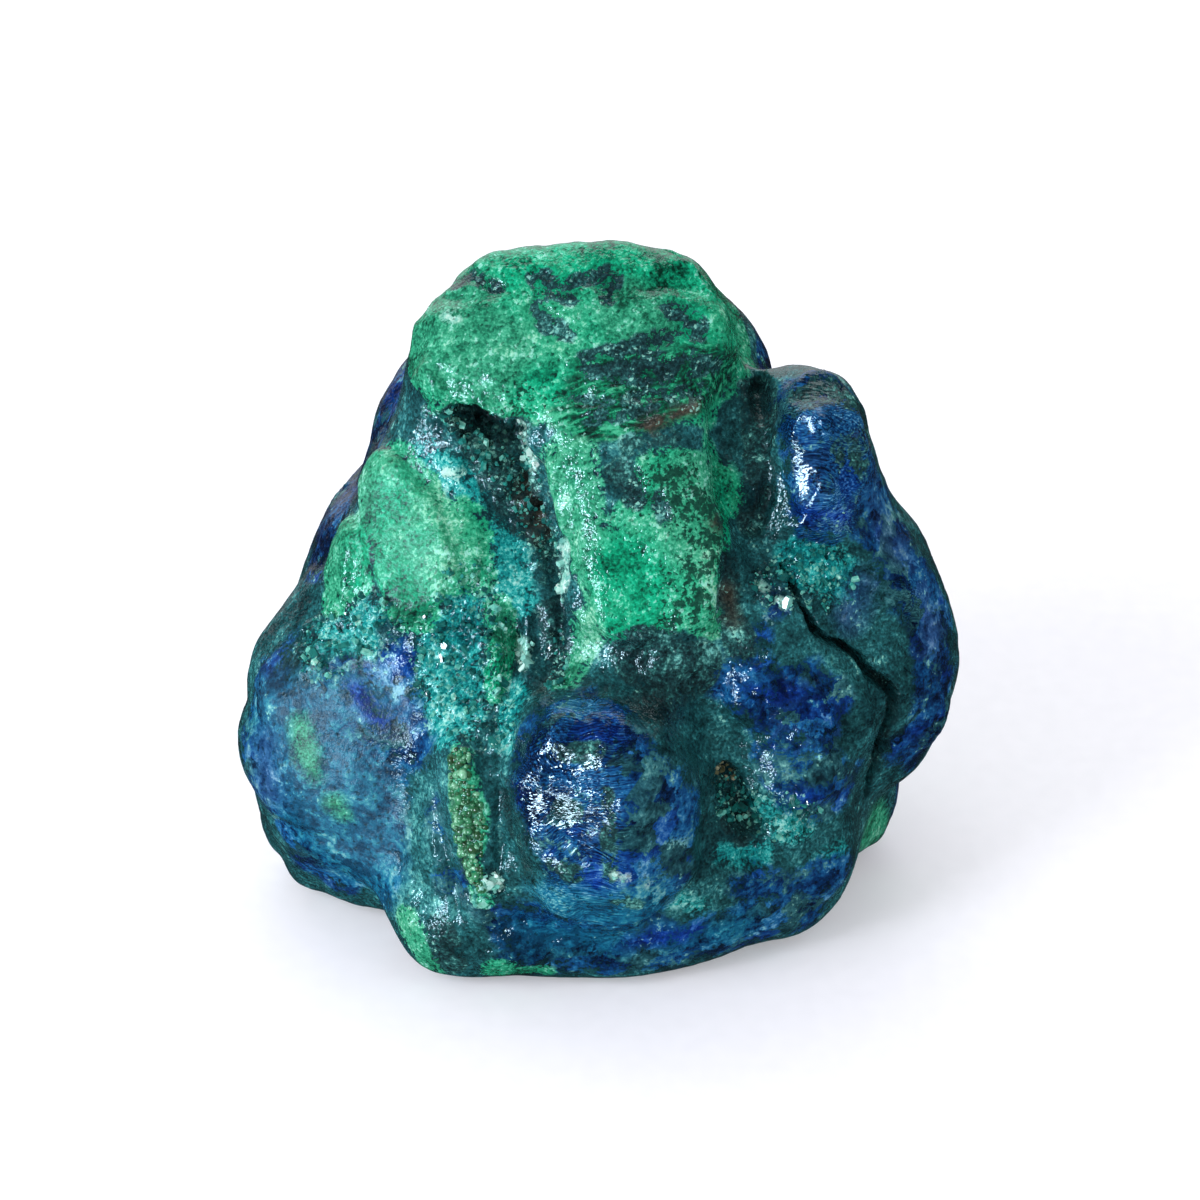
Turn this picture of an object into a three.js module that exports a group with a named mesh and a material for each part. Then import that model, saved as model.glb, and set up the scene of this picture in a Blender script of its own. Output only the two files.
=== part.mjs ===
// Azurite with malachite: one tumbled nugget, a cluster of lobes with a tilted cap on top.
// Millimetres, +Z up. The nugget rests on a worn flat at z = 0, and the origin is the middle of its
// bounding box on that flat. Its best side faces -Y.
//
// The surface is the skin of a blend of lobes, less the hollows and clefts worn between them. Each
// corner of a fine icosahedron is moved along its ray from the middle of the lump out to that skin.

import * as THREE from "three";
import { mergeVertices } from "three/addons/utils/BufferGeometryUtils.js";

// Driving dimensions
const HEART = new THREE.Vector3(0, 0, 17); // every ray starts here, deep inside the lump
const REACH = 40; // no part of the skin is further from the heart than this
const ROWS = 19; // of triangles along each side of the icosahedron, less one
const FRONT_CROWDING = 0.2; // how far the rays lean towards the best side, where the relief is finest
const SQUARENESS = 2.3; // 2 is an ellipsoid; more has flatter sides
const CLEFT_SOFTNESS = 1.8; // rounding of the edges of a cleft
const WORN_EDGE = 2; // rounding where the sides meet the resting flat
const NEAR_ENOUGH = 1e-4; // to the skin
const CAUTION = 0.6; // share of the distance still to go that one step takes
const SETTLING = 0.5; // how far a corner moves towards the middle of its neighbours
const PASSES = 3; // of settling and putting back on the skin

const lobe = (name, at, radii, blend, turn = [0, 0, 0]) => ({ name, at, radii, blend, turn });

// Middle, radii, softness where it meets the rest, and turns about X, Y and Z in degrees
const LOBES = [
  lobe("core", [-0.4, 2.8, 12.4], [17.4, 13.2, 16.4], 0.1),
  lobe("upper core", [-0.8, 4.8, 26], [10.6, 8.6, 12.4], 6),
  lobe("front body", [-0.4, -6.6, 6.6], [12, 8.4, 10], 4),
  lobe("green strip", [-6.8, -10.2, 11], [2.8, 4.4, 6.8], 2.2, [0, -12, 0]),
  lobe("front left toe", [-8, -9.6, 3.2], [4.6, 4.6, 4.8], 2),
  lobe("left bulge", [-14.2, -1.4, 11.6], [8.1, 8, 9.6], 3),
  lobe("left heel", [-14.8, 0.2, 3.8], [6, 6, 5.8], 2.4),
  lobe("green shoulder", [-9.8, -0.4, 24], [6, 4.8, 9.6], 2.6, [-18, 16, 0]),
  lobe("upper back left lobe", [-7.8, 7, 27.4], [5.4, 5.6, 8], 3),
  lobe("lower back left lobe", [-11.4, 4.8, 17], [7.4, 6.6, 9.4], 3, [0, 14, 0]),
  lobe("rib", [3.2, -3.8, 26.6], [6.2, 4.8, 10.6], 1.8, [-29, -4, 0]),
  lobe("outer right lobe", [14.8, 0.6, 17.8], [7.8, 7.2, 10.8], 2.6, [-8, -18, 0]),
  lobe("inner right lobe", [11, -4.8, 18], [6.2, 6, 8.8], 1.4, [-20, -18, 0]),
  lobe("lower right lobe", [9.6, -4.8, 7.2], [7.5, 7, 8.4], 2.4),
  lobe("right heel", [15.2, 3.4, 4], [4.6, 5.2, 5.2], 2.4),
  lobe("ledge under the knob", [13, -0.6, 25], [4.8, 4.6, 4], 2),
  lobe("knob", [13, 0.8, 30], [4.6, 5, 6], 2, [0, -6, 0]),
  lobe("boss", [0.6, -10.2, 13], [6.8, 7.2, 7.8], 1.8),
  lobe("back crest", [4.4, 8.2, 35.8], [3.2, 3.8, 4.8], 1.8),
  lobe("back right shoulder", [6, 10.4, 28], [6, 5.6, 7.8], 2.4),
  lobe("back middle lobe", [-3, 10.4, 20], [7.6, 6, 10], 2.6),
  lobe("back right lobe", [8.4, 9.6, 12], [9, 7, 12.4], 2.6),
  lobe("back heel", [-5.6, 11.6, 6], [8.4, 5.6, 8], 2.6),
  lobe("cap", [-1.2, 2.5, 36.4], [10.4, 6.4, 4.6], 1.4, [44, 0, 4]),
];

// Clefts and hollows: points along each with the radius worn away there
const CLEFTS = [
  { name: "hollow under the lip", path: [[-8.4, -4, 33.4, 2.2], [-6, -4.6, 32.6, 2.6]] },
  { name: "left cleft", path: [[-5.6, -5.2, 31.2, 2.2], [-4, -7.2, 27.8, 2.2], [-2.8, -10, 23.6, 1.8]] },
  { name: "cleft beside the knob", path: [[8.8, -0.4, 38, 1.4], [9.2, -2.6, 33.8, 1.4], [9.4, -5.4, 28.6, 1.2]] },
  { name: "pocket beside the boss", path: [[7.8, -13.2, 16, 1.4], [8.4, -13.4, 12.8, 1.6]] },
  { name: "fold behind the left bulge", path: [[-19, 6.6, 24, 2], [-21.6, 5.4, 17, 2.4], [-22, 7, 10, 2]] },
  { name: "back furrow", path: [[1.6, 16.8, 31, 2], [2.6, 18.4, 20, 2.4], [0.6, 18.6, 10, 2]] },
];

const toLocal = (at, turn) => {
  const radians = turn.map(THREE.MathUtils.degToRad);
  const matrix = new THREE.Matrix4().makeRotationFromEuler(new THREE.Euler(...radians));
  return matrix.setPosition(...at).invert();
};

function roundedBlock({ at, radii, turn }) {
  const inverse = toLocal(at, turn);
  const p = new THREE.Vector3();
  return (point) => {
    const local = p.copy(point).applyMatrix4(inverse).toArray().map(Math.abs);
    const near = local.reduce((sum, v, i) => sum + (v / radii[i]) ** SQUARENESS, 0) ** (1 / SQUARENESS);
    const lean = Math.hypot(...local.map((v, i) => (v / radii[i]) ** (SQUARENESS - 1) / radii[i]));
    return lean > 0 ? ((near - 1) * near ** (SQUARENESS - 1)) / lean : -Math.min(...radii);
  };
}

// A ball swept along a line while its radius changes
function sweep([ax, ay, az, ar], [bx, by, bz, br]) {
  const start = new THREE.Vector3(ax, ay, az);
  const along = new THREE.Vector3(bx, by, bz).sub(start);
  const length = along.lengthSq();
  const p = new THREE.Vector3();
  return (point) => {
    p.copy(point).sub(start);
    const share = THREE.MathUtils.clamp(p.dot(along) / length, 0, 1);
    return p.addScaledVector(along, -share).length() - THREE.MathUtils.lerp(ar, br, share);
  };
}

// The smaller of two distances, rounded off over k where they are close
function softMin(a, b, k) {
  const h = Math.max(k - Math.abs(a - b), 0) / k;
  return Math.min(a, b) - (h * h * k) / 4;
}
const softMax = (a, b, k) => -softMin(-a, -b, k);

const lobes = LOBES.map((each) => ({ distance: roundedBlock(each), blend: each.blend }));

const hollows = CLEFTS.flatMap(({ path }) => path.slice(1).map((to, i) => sweep(path[i], to)));

function skin(point) {
  let d = REACH;
  for (const { distance, blend } of lobes) d = softMin(d, distance(point), blend);
  for (const hollow of hollows) d = softMax(d, -hollow(point), CLEFT_SOFTNESS);
  return softMax(d, -point.z, WORN_EDGE);
}

// The furthest point of the skin along a ray from the heart
function furthest(direction, out) {
  const at = (r) => skin(out.copy(direction).multiplyScalar(r).add(HEART));
  let r = REACH;
  let gap = at(r);
  while (gap > NEAR_ENOUGH) {
    r -= gap * CAUTION;
    gap = at(r);
  }
  if (out.z < 0.02) out.z = 0;
  return out;
}

// Lists, for every corner, the corners it shares an edge with
function neighbours(geometry) {
  const lists = Array.from({ length: geometry.getAttribute("position").count }, () => new Set());
  const index = geometry.getIndex().array;
  for (let i = 0; i < index.length; i += 3) {
    for (const [from, to] of [[0, 1], [1, 2], [2, 0]]) {
      lists[index[i + from]].add(index[i + to]);
      lists[index[i + to]].add(index[i + from]);
    }
  }
  return lists;
}

// Evens out the net: every corner moves part of the way to the middle of its neighbours
function settle(position, lists) {
  const before = position.clone();
  const middle = new THREE.Vector3();
  const here = new THREE.Vector3();
  lists.forEach((list, i) => {
    middle.set(0, 0, 0);
    for (const other of list) middle.add(here.fromBufferAttribute(before, other));
    here.fromBufferAttribute(before, i).lerp(middle.divideScalar(list.size), SETTLING);
    position.setXYZ(i, here.x, here.y, here.z);
  });
}

// Moves every corner along its own ray out to the skin
function project(position) {
  const ray = new THREE.Vector3();
  const found = new THREE.Vector3();
  for (let i = 0; i < position.count; i++) {
    ray.fromBufferAttribute(position, i).sub(HEART).normalize();
    furthest(ray, found);
    position.setXYZ(i, found.x, found.y, found.z);
  }
}

function stoneGeometry() {
  const ball = new THREE.IcosahedronGeometry(1, ROWS);
  ball.deleteAttribute("normal");
  ball.deleteAttribute("uv");
  const geometry = mergeVertices(ball, 1e-4).translate(HEART.x, HEART.y - FRONT_CROWDING, HEART.z);
  const position = geometry.getAttribute("position");
  const lists = neighbours(geometry);
  project(position);
  for (let pass = 0; pass < PASSES; pass++) {
    settle(position, lists);
    project(position);
  }
  settle(position, lists);
  settle(position, lists);
  geometry.computeBoundingBox();
  const middle = geometry.boundingBox.getCenter(new THREE.Vector3());
  geometry.translate(-middle.x, -middle.y, -geometry.boundingBox.min.z);
  geometry.computeVertexNormals();
  return geometry;
}

const stone = new THREE.Mesh(
  stoneGeometry(),
  new THREE.MeshStandardMaterial({ color: 0x1f6b5c, roughness: 0.35, metalness: 0 }),
);
stone.name = "stone";

const group = new THREE.Group();
group.add(stone);

export default group;
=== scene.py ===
"""Azurite with malachite: the looks of one tumbled nugget, about 45 mm wide.

The nugget rests on z = 0 and its best side faces -Y. Blender's own lengths are metres. Places on the
nugget are given in millimetres from the middle of its resting flat, as (x, y, z) or (x, y, z, radius).
A stroke is a list of such places, joined up.
"""
import math
from functools import partial

import bmesh
import bpy
import numpy as np
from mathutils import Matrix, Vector, noise
from mathutils.kdtree import KDTree


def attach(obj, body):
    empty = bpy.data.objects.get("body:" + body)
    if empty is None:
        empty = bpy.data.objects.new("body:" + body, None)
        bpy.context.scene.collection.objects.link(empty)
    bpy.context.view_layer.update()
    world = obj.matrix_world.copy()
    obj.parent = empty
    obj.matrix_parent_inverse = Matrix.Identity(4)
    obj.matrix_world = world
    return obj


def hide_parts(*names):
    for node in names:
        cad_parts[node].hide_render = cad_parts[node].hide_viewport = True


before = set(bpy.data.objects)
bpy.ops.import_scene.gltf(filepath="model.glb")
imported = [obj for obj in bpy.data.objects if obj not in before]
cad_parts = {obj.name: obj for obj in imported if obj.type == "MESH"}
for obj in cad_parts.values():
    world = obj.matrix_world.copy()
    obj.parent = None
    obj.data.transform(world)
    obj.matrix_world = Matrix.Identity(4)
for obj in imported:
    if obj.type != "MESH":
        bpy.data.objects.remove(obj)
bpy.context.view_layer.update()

MM = 0.001
MIDDLE = (0, 0, 0.018)  # of the nugget, where the lights point
NET_SIZE = 0.245  # mm between neighbouring points of the finished net
BOSS_TOP, CAP_BOTTOM = 24, 32  # mm above the floor
RIGHT_LOBES = 8  # mm to the right of the middle, where the knob and the lobes start
LIFT = (0.15, 1.2)  # mm above the floor where points start to move, and over which they come to move freely


def linear(colour):
    """A "#rrggbb" colour as linear red, green, blue and alpha."""
    channels = [int(colour[i:i + 2], 16) / 255 for i in (1, 3, 5)]
    return (*[c / 12.92 if c <= 0.04045 else ((c + 0.055) / 1.055) ** 2.4 for c in channels], 1)


def new_object(name, data):
    thing = bpy.data.objects.new(name, data)
    bpy.context.scene.collection.objects.link(thing)
    return thing


# ---- camera ----

def set_up_camera(elevation=30, distance=0.3125, aim_height=0.0203, lens=150):
    camera = new_object("camera", bpy.data.cameras.new("camera"))
    angle = math.radians(elevation)
    back = Vector((0, -math.cos(angle), math.sin(angle)))
    camera.location = Vector((0, 0, aim_height)) + back * distance
    camera.rotation_euler = (-back).to_track_quat("-Z", "Y").to_euler()
    camera.data.lens = lens
    camera.data.sensor_width = 36
    camera.data.clip_start = 0.01
    camera.data.clip_end = 20
    bpy.context.scene.camera = camera


# ---- places on the nugget ----

# Cuts: how deep, how soft the edge, which way it goes in and the path worn or split open
CUTS = {
    "slit beside the knob": dict(by=2.6, soft=.6, way=(-.15, .95, -.2), path=[
        (9.3, 3.4, 36, .6), (9.8, 1.2, 35.4, .6), (9.9, -1.4, 33.2, .5), (10.3, -3.2, 30.8, .5),
        (10.2, -4, 29.2, .4), (9.4, -4.6, 27.9, .4), (9, -6, 26, .3)]),
    "cavity under the lip": dict(by=3.2, soft=.7, way=(.1, .95, .25), path=[
        (-8.4, -1.6, 33.8, .7), (-7.2, -1.9, 33.2, 1.6), (-5.7, -2.4, 32.6, 1.8),
        (-4.8, -2.5, 33.2, 1.1)]),
    "cleft beside the rib": dict(by=1.5, soft=.6, way=(.5, .85, 0), path=[
        (-5.2, -2.8, 30.8, .7), (-4.3, -3.8, 29, .7), (-3.4, -4.9, 27.2, .7), (-2.9, -6, 25.6, .7),
        (-2.6, -7.6, 23.9, .6), (-2.6, -8.6, 22.2, .6), (-3.4, -10.4, 20.2, .6)]),
    "trough under the cap": dict(by=.6, soft=2, way=(0, .8, -.6), path=[
        (-1.4, -3.4, 34.3, .8), (.6, -3.8, 34.5, 1.3), (2.6, -3.6, 34.9, 1.4), (4.8, -2.7, 35.4, 1.3),
        (8.6, 0, 35.4, 1)]),
    "recess beside the boss": dict(by=1.6, soft=1, way=(-.2, 1, 0), path=[
        (7.9, -11.4, 14.4, 1.2), (8.4, -11.6, 12.4, 1.4), (9.6, -11.4, 11, 1.2)]),
    "groove beside the grains": dict(by=.9, soft=.4, way=(.2, 1, 0), path=[
        (-6, -12.8, 16.8, .4), (-6.5, -14.1, 14.4, .4), (-6.4, -14.7, 12.4, .4), (-5.8, -14.8, 8.2, .3)]),
    "valley beside the left bulge": dict(by=.8, soft=.9, way=(0, 1, 0), path=[
        (-10, -10.4, 16.4, .6), (-10.2, -12, 13, .7), (-9.4, -13.6, 9.4, .7), (-8.6, -14, 6, .6)]),
    "step under the knob": dict(by=.7, soft=.5, way=(0, .9, .4), path=[
        (11.6, -4.9, 27, .5), (14, -5, 26.6, .6), (16.2, -4.2, 25.7, .5)]),
    "waist of the knob": dict(by=.35, soft=.5, way=(0, .9, 0), path=[
        (10.8, -2.6, 32.6, .3), (13, -3.4, 32.6, .3), (15.8, -2.4, 32.2, .3)]),
    "groove beside the boss": dict(by=.9, soft=.6, way=(0, .8, -.1), path=[
        (-6, -13.4, 16.4, .3), (-5.5, -12.2, 17.6, .4), (-4.6, -11.3, 18.9, .5), (-3, -11.2, 20.1, .45),
        (-.6, -11.5, 21, .2)]),
    "edge of the boss": dict(by=.9, soft=.6, way=(0, .9, 0), path=[
        (5.6, -12.2, 17.4, .2), (6.6, -11.8, 15.8, .5), (7.2, -11.8, 13.4, .5), (6.9, -13.2, 10.4, .2)]),
    "groove under the shoulder crust": dict(by=.6, soft=.5, way=(.1, .9, .1), path=[
        (-15.7, -3.3, 23.6, .3), (-14.4, -4.7, 23.2, .4), (-13.2, -5.4, 22.9, .4), (-12.2, -6.2, 22, .4),
        (-10.4, -6.4, 22.8, .4), (-8.8, -6.4, 23.5, .4), (-7.4, -6, 25.2, .4), (-6.9, -5.4, 26.4, .4),
        (-7.1, -4.3, 28, .4), (-8.2, -3.4, 29.8, .3)]),
    "gap beside the fin": dict(by=1, soft=.4, way=(0, 1, 0), path=[
        (-5.2, -7.4, 23.4, .4), (-5.2, -8.8, 21, .5), (-5.4, -10.2, 18.8, .4)]),
    "strip beside the rib": dict(by=.7, soft=.5, way=(-.3, .9, 0), path=[
        (7.4, -2.4, 32.7, .4), (7.5, -5, 30.2, .5), (7.7, -7.3, 27.3, .55), (7.7, -8.9, 24, .5)]),
    "notch behind the rim of the cap": dict(by=1.6, soft=.5, way=(-.4, .2, -.8), path=[
        (4.2, 5.8, 41.2, .6), (5.8, 4.9, 40.6, .8), (7.4, 4, 39.2, .85), (8.7, 3.9, 37.6, .8),
        (9.4, 3.6, 36.2, .5)]),
    "dip under the ear of the cap": dict(by=.8, soft=.5, way=(.4, .9, 0), path=[
        (-10.3, .2, 35.2, .6), (-9.4, -1, 34, .6)]),
}

# Narrow cracks, split in the carved surface
CRACKS = {
    "crack in the right side": dict(by=2.2, soft=.3, way=(-.5, .85, 0), path=[
        (11.2, -5.9, 26.2, .3), (12, -7, 24.9, .36), (12.3, -7.4, 24, .34), (13.3, -8.3, 22.9, .4),
        (14, -8, 21.9, .34), (15.2, -7.6, 21.5, .42), (16.1, -7.1, 20.3, .42), (16.5, -7.1, 19, .46),
        (17.7, -6.4, 17.6, .5), (17.9, -6.8, 16, .5), (17.4, -7, 14.6, .5), (17.5, -6.6, 12.4, .46),
        (16.6, -6, 9.6, .3)]),
    "upper chip in the boss": dict(by=.3, soft=.25, way=(0, 1, 0), path=[
        (-3.2, -16, 16.9, .6), (-1.9, -16.3, 16.7, .5)]),
    "lower chip in the boss": dict(by=.3, soft=.25, way=(0, 1, 0), path=[
        (-2.4, -17, 13.4, .7), (-1.2, -17.2, 12.4, .7)]),
    "slit in the boss": dict(by=.5, soft=.25, way=(0, .8, -.6), path=[
        (-1.4, -15.7, 17.9, .2), (1.6, -15.6, 18, .2)]),
    "upper slit in the knob": dict(by=.6, soft=.25, way=(0, 1, 0), path=[
        (13.4, -2.6, 33.5, .25), (13.5, -3.2, 32.4, .2)]),
}

# Ridges: how high, how soft the edge, which way it stands out and its path
RIDGES = {
    "left edge of the rib": dict(by=1.1, soft=.9, way=(-.75, -.65, 0), path=[
        (-4.4, -2.5, 34.4, .6), (-3.8, -2.8, 33, .8), (-2.4, -4, 31.8, .9), (-2, -6, 28.8, .8),
        (-1.7, -7.5, 26.7, .7), (-1.9, -7.9, 25.2, .6), (-.9, -9.1, 24, .6), (-1.7, -9.6, 21.5, .6)]),
    "lip of the cap": dict(by=.8, soft=.7, way=(0, -.9, -.3), path=[
        (-10.2, .4, 36.2, .6), (-8.6, -1, 35.4, .7), (-7.4, -1.6, 35.8, .7), (-6.4, -2, 34.9, .7),
        (-5.2, -2.3, 35, .7), (-4, -2.6, 35, .6)]),
    "fin": dict(by=1.4, soft=.8, way=(-.1, -1, 0), path=[
        (-6.4, -7, 24, .4), (-6.1, -8.2, 21.6, .8), (-6.3, -9.5, 18.8, .5)]),
    "ledge under the knob": dict(by=.6, soft=.5, way=(0, -.9, .1), path=[
        (11.4, -4.4, 28.3, .5), (13.8, -4.6, 28, .6), (16.1, -3.9, 27.1, .6)]),
    "teal knot": dict(by=.9, soft=.9, way=(0, -1, .2), path=[
        (-9.6, -2.2, 31.6, .7), (-8.8, -2.4, 31.2, .9)]),
    "knot under the cavity": dict(by=.8, soft=.7, way=(0, -1, 0), path=[
        (-7, -2.6, 30.4, .5), (-6, -3, 29.8, .6)]),
    "white crust beside the rib": dict(by=.7, soft=.5, way=(-.2, -1, 0), path=[
        (-3.2, -6, 26.8, .4), (-3.4, -6.7, 25.6, .6), (-3.9, -7.3, 24.4, .5)]),
    "wall beside the fin": dict(by=.5, soft=.5, way=(0, -1, 0), path=[
        (-4.4, -7.2, 23.4, .4), (-4.4, -9.2, 20.6, .5)]),
    "rim of the right lobe": dict(by=.5, soft=.7, way=(.3, -.95, 0), path=[
        (13.4, -9.4, 21, .6), (15.4, -8.4, 19.8, .6), (16.4, -8.2, 17.4, .6), (16, -8, 14, .6)]),
    "front edge of the cap": dict(by=.4, soft=1, way=(0, -.8, .4), path=[
        (-10.6, .2, 36.8, .9), (-7, -1.6, 36.6, .9), (-4.2, -2.6, 36.2, .8)]),
    "left end of the cap": dict(by=.5, soft=.8, way=(-1, -.3, .1), path=[
        (-11, 1.6, 38.6, .8), (-11.2, 1, 36.8, .8), (-10.4, -.4, 35.6, .6)]),
    "back edge of the cap": dict(by=.3, soft=.9, way=(0, .3, .9), path=[
        (-10.2, 3, 39.4, .8), (-5, 5, 42, .9), (2, 5.6, 42.2, .9)]),
    "right rim of the cap": dict(by=.45, soft=.5, way=(.3, -.2, .8), path=[
        (3.4, 4.9, 41.4, .45), (4.9, 4, 41.1, .5), (6.5, 2.9, 40, .5), (7.6, 2.8, 38.9, .5),
        (8.2, 3, 37.7, .5), (8.8, 2.9, 36.4, .4)]),
    "corner of the cap": dict(by=.5, soft=1.6, way=(-.8, 0, .5), path=[
        (-9.6, 2.8, 39.8, 1), (-10.4, 2, 38.4, 1)]),
    "edge of the panel in the knob": dict(by=.5, soft=.4, way=(.3, -.95, 0), path=[
        (13.4, -3.3, 32.4, .3), (13.3, -3.8, 30.4, .35), (12.7, -4.3, 28.7, .3)]),
    "upper edge of the panel in the knob": dict(by=.4, soft=.4, way=(.3, -.95, 0), path=[
        (13.6, -1.8, 34.8, .3), (13.6, -2.5, 33.4, .3)]),
    "bead in the cavity": dict(by=.8, soft=.6, way=(0, -1, 0), path=[
        (-6.9, -2.2, 32.6, .4), (-6.4, -2.4, 32.2, .4)]),
    "left edge of the strip": dict(by=.45, soft=.5, way=(-.4, -.9, 0), path=[
        (-8.9, -12.8, 15.6, .3), (-8.9, -13.9, 12.6, .4), (-8.4, -14.5, 9.6, .4),
        (-7.2, -14.9, 7.2, .3)]),
}

# Faces worn flat: a point on each, the way it faces, how far it reaches, how flat it is, how soft its edge
FACES = {
    "front of the cap": dict(at=(-1, -1, 38.8), facing=(0, -.74, .67), reach=10.5, share=.5),
    "left end of the cap": dict(at=(-11.1, 1.2, 37.2), facing=(-.9, -.32, .3), reach=4, share=.6),
    "front of the rib": dict(at=(2.4, -7.6, 28.6), facing=(.04, -.87, .5), reach=6.5, share=.45),
    "shoulder": dict(at=(-11.6, -4.4, 26.4), facing=(-.2, -.7, .68), reach=5.5, share=.2),
    "upper left of the boss": dict(
        at=(-2.4, -15.5, 14.6), facing=(-.34, -.86, .38), reach=4.4, share=.65),
    "left flank of the boss": dict(at=(-5, -14.5, 13.4), facing=(-.8, -.58, .1), reach=3.6, share=.5),
    "right flank of the boss": dict(at=(5, -14.4, 13.4), facing=(.62, -.78, .12), reach=4.6, share=.6),
    "underside of the boss": dict(at=(0, -16.2, 8), facing=(0, -.92, -.38), reach=4.4, share=.5),
    "top of the knob": dict(at=(13.4, -.6, 34.7), facing=(.2, -.5, .84), reach=3.4, share=.6),
    "left front of the knob": dict(at=(11.6, -3.2, 31.4), facing=(-.32, -.93, .18), reach=3.2, share=.7),
    "right front of the knob": dict(at=(15.2, -2.9, 31), facing=(.42, -.88, .2), reach=3.4, share=.7),
    "upper blade of the knob": dict(
        at=(13, -2.5, 34), facing=(-.38, -.86, .33), reach=1.1, share=1, soft=.3),
    "lower blade of the knob": dict(
        at=(12.7, -4, 30.6), facing=(-.36, -.87, .32), reach=1.7, share=1, soft=.3),
    "inner right lobe": dict(at=(12.2, -9.4, 17.4), facing=(.3, -.92, .25), reach=5, share=.5),
    "outer right lobe": dict(at=(20.4, -3.6, 19), facing=(.82, -.52, .22), reach=6, share=.4),
    "left bulge": dict(at=(-17.4, -7.4, 13.6), facing=(-.55, -.78, .3), reach=5.4, share=.2),
}

# Plates that stand proud of what is round them: how far, how soft the edge and the strokes they cover
PLATES = {
    "cap": dict(by=.5, soft=1.4, strokes=[
        [(-9, .6, 38.2, 2.7), (-5, -.2, 38.6, 3.8), (0, -.4, 39, 3.7), (4, 0, 38.6, 3.5),
         (7, 1.8, 37.8, 2.4)], [(-7, 4, 41, 3), (0, 4, 42, 4), (4, 5, 41, 3)]]),
    "ear of the cap": dict(by=.8, soft=.5, strokes=[
        [(-9.8, -.2, 36, 1), (-9.3, -1, 34.8, .7), (-8.8, -1.5, 33.6, .45)]]),
    "rib": dict(by=.6, soft=1.3, strokes=[
        [(-2.6, -2.8, 34.8, 2), (-.4, -5, 31.6, 2), (.4, -8, 27, 2)],
        [(.6, -3.8, 34.4, 2.8), (1.6, -7.4, 28.8, 3.1), (2, -8.8, 25, 3)],
        [(4.4, -3.4, 34, 3), (4.8, -7.6, 28.2, 2.8), (5, -8.8, 25, 2.4)]]),
    "knob": dict(by=.6, soft=.6, strokes=[
        [(13.4, -.8, 34, 2.6), (13.8, -2.8, 31.4, 2.9), (13.8, -3.8, 29.6, 2.2)]]),
    "boss": dict(by=.6, soft=1.4, strokes=[
        [(-.6, -14, 17.4, 4), (.4, -15.2, 14.6, 6.4), (.8, -15.6, 11.6, 6)]]),
    "strip of grains": dict(by=.6, soft=.5, strokes=[
        [(-8, -12.8, 16.2, .9), (-7.8, -14, 13.2, 1.1), (-7.4, -14.6, 10.4, 1.1),
         (-6.9, -14.8, 8.2, .6)]]),
    "shoulder crust": dict(by=.5, soft=.5, strokes=[
        [(-13.4, -1.2, 29.4, 2.2), (-12.2, -3.2, 27.8, 2.9), (-11.2, -5, 25.4, 2.9),
         (-12, -5.4, 23.4, 1.6)], [(-15.8, -2, 25.4, 1.8), (-16, -3.6, 22.8, 1.3)]]),
    "inner right lobe": dict(by=.5, soft=.8, strokes=[
        [(9.4, -10, 19.6, 2.2), (12, -10.2, 18.4, 2.8), (12.6, -10.8, 14.4, 2.4)]]),
    "edge of the left bulge": dict(by=.3, soft=2.4, strokes=[
        [(-19.6, -6, 15.6, 2.6), (-17, -8.4, 12.6, 3.4), (-14, -9.2, 10, 3)]]),
}

# Patches of each mineral, as strokes
MALACHITE = [
    [(-10.2, 1.4, 38, 3), (-8, 0, 38.6, 4.4), (-3, 0, 38.8, 5), (3, 0, 39, 5), (7, 1.4, 37.4, 3.4)],
    [(-6, 6, 41, 4), (0, 6, 41.6, 5), (5, 5, 40, 4)],
    [(-9.4, -1, 36.4, 1.6), (-6, -2.2, 36.4, 2), (0, -3, 36, 2.4), (6, -1.5, 35.6, 2.4)],
    [(-1.6, -4.2, 32.8, 1.7), (-1.4, -6.6, 29.4, 1.9), (.6, -8.8, 27, 2.4), (1.4, -9.6, 24.8, 2)],
    [(4, -6, 31.8, 2.4), (6.6, -5.4, 30.6, 2.4), (5.4, -8.1, 27.8, 2.6), (6.4, -8.8, 24.6, 1.8)],
    [(7.4, -3.6, 32.8, 1.6), (8.2, -5, 30, 1.4)],
    [(-.8, -9, 24, 1.3), (-1.6, -9.6, 21.8, 1.1), (-2, -10.4, 20.4, 1.1)],
    [(-13, -1.4, 29.6, 2.4), (-12.2, -3, 28.4, 3), (-11, -5, 26, 3.2), (-11.2, -6, 23.6, 2)],
    [(-8.6, -4.2, 27.4, 2.4), (-7.8, -5.4, 25, 1.6)], [(-14.6, -2.8, 27, 1.7), (-14.8, -4, 24.4, 1.5)],
    [(-15.8, -2, 25.6, 1.8), (-16, -3.4, 22.6, 1.6)],
    [(-6.2, -7, 23.8, .8), (-5.8, -8.2, 21.6, 1), (-6.4, -9.4, 19, .6)],
    [(-8.5, -12.5, 16.6, .9), (-8.3, -13.8, 13.4, 1), (-7.9, -14.4, 10.6, 1), (-7.2, -14.8, 7.6, .7)],
    [(-11.6, -12.6, 4.6, 1.2), (-10.6, -13.4, 2.4, 1.4)],
    [(-6.4, -14.2, 1.8, 1.2), (-3.8, -14.4, 1.4, 1)],
    [(3, 9.5, 40, 2.4), (4.4, 6.4, 38.4, 2.8), (8, 8, 36, 3.4), (10, 7, 33, 2)],
    [(2, -7.4, 30, 1.4), (3, -8.6, 27.6, 2.2), (3.6, -9.3, 25.2, 1.8)],
    [(-9.6, -.6, 34.6, .9), (-9, -1.2, 34, .6)],
]
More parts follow.
